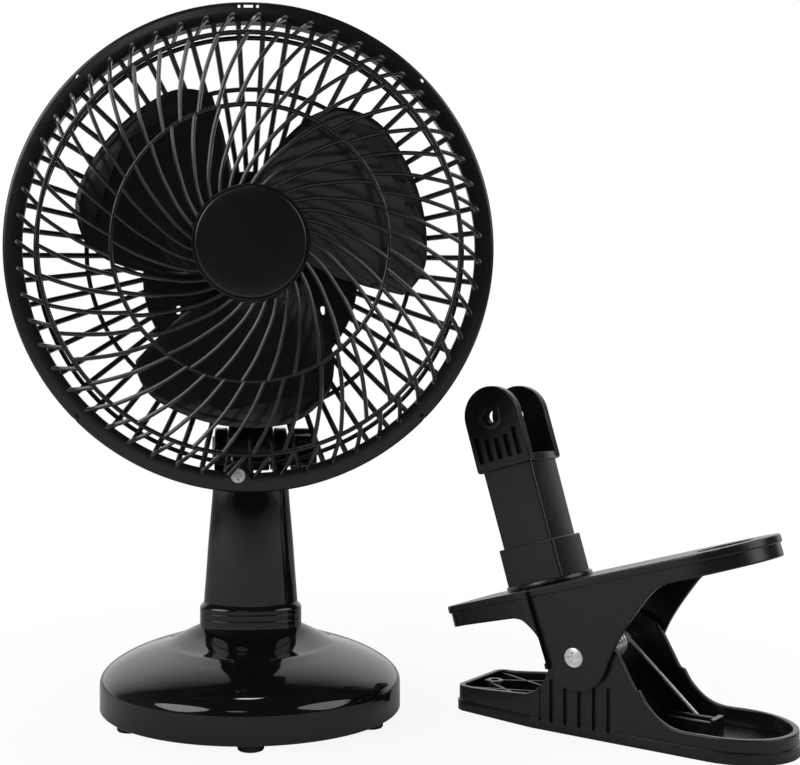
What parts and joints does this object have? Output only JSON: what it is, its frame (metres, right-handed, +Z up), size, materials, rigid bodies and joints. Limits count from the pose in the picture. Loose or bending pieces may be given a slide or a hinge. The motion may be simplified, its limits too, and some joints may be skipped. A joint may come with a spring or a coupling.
{
  "type": "clip fan",
  "caption": "Small guarded fan on a tilting neck and round weighted base, with the separate spring clip mount that can carry the same head.",
  "frame": {"origin": "on the table, at the centre of the set's bounding box", "axes": "+Z up; the fan blows along -Y and its axis is parallel to Y; the clip stands on the +X side"},
  "size_m": [0.2858, 0.1394, 0.2726],
  "materials": {
    "gloss_black": "polished black",
    "guard_black": "semi-gloss black",
    "blade_black": "glossy blue-black",
    "clip_black": "satin black",
    "rubber_black": "matte",
    "zinc": "zinc plated",
    "spring_steel": "bright",
    "weight_iron": "cast",
    "lamination": "dull",
    "copper_wire": "enamelled",
    "bronze": "sintered"
  },
  "bodies": {
    "stand": {"base_dome": "gloss_black", "base_plate": "guard_black", "base_weight": "weight_iron", "base_foot_1": "rubber_black", "base_foot_2": "rubber_black", "base_foot_3": "rubber_black", "base_foot_4": "rubber_black", "base_foot_5": "rubber_black", "base_foot_6": "rubber_black", "base_screw_1": "zinc", "base_screw_2": "zinc", "base_screw_3": "zinc", "neck": "gloss_black", "neck_screw_left": "zinc", "neck_screw_right": "zinc", "tilt_bolt": "zinc", "tilt_washer_left": "zinc", "tilt_washer_right": "zinc"},
    "knob": {"tilt_knob": "guard_black", "tilt_nut": "zinc"},
    "head": {"front_grille": "guard_black", "centre_cap": "guard_black", "rear_grille": "guard_black", "grille_screw": "zinc", "stator_core": "lamination", "stator_coil": "copper_wire", "front_bracket": "lamination", "rear_bracket": "lamination", "front_bush": "bronze", "rear_bush": "bronze", "bracket_screw_left": "zinc", "bracket_screw_right": "zinc", "motor_housing": "guard_black", "housing_screw_1": "zinc", "housing_screw_2": "zinc", "housing_screw_3": "zinc", "housing_screw_4": "zinc", "speed_switch": "rubber_black", "cord_gland": "rubber_black"},
    "rotor": {"propeller": "blade_black", "motor_shaft": "zinc", "rotor_core": "lamination"},
    "dial": {"speed_knob": "guard_black"},
    "clip_lower": {"clip_lower_jaw": "clip_black", "clip_spring": "spring_steel", "clip_pivot_screw": "zinc", "clip_pivot_nut": "zinc"},
    "clip_upper": {"clip_upper_jaw": "clip_black"},
    "clip_swivel": {"clip_swivel_base": "clip_black", "clip_post": "clip_black", "clip_swivel_screw": "zinc", "clip_swivel_washer": "zinc"}
  },
  "joints": [
    {"name": "head_tilt", "type": "hinge", "parent": "stand", "child": "head", "pos_m": [-0.05098, 0.01073, 0.1032], "axis": [1, 0, 0], "range_deg": [-45, 8]},
    {"name": "fan_spin", "type": "hinge", "parent": "head", "child": "rotor", "pos_m": [-0.05098, 0.00973, 0.1806], "axis": [0, 1, 0], "continuous": true},
    {"name": "knob_turn", "type": "hinge", "parent": "stand", "child": "knob", "pos_m": [-0.05098, 0.01073, 0.1032], "axis": [1, 0, 0], "range_deg": [-180, 180]},
    {"name": "speed_turn", "type": "hinge", "parent": "head", "child": "dial", "pos_m": [-0.05098, 0.00973, 0.1706], "axis": [0, 1, 0], "range_deg": [0, 90]},
    {"name": "clip_slide", "type": "slide", "parent": "stand", "child": "clip_lower", "axis": [1, 0, 0], "range_m": [0, 0.15]},
    {"name": "clip_open", "type": "hinge", "parent": "clip_lower", "child": "clip_upper", "pos_m": [0.08332, -0.01497, 0.0295], "axis": [0.6561, 0.7547, 0], "range_deg": [0, 25], "stiffness_Nm_per_rad": 1.5, "springref_deg": -34.38, "deforming": ["clip_spring"]},
    {"name": "swivel_turn", "type": "hinge", "parent": "clip_upper", "child": "clip_swivel", "pos_m": [0.06646, -0.00031, 0.05104], "axis": [-0.2143, 0.1863, 0.9588], "range_deg": [-180, 180]}
  ]
}
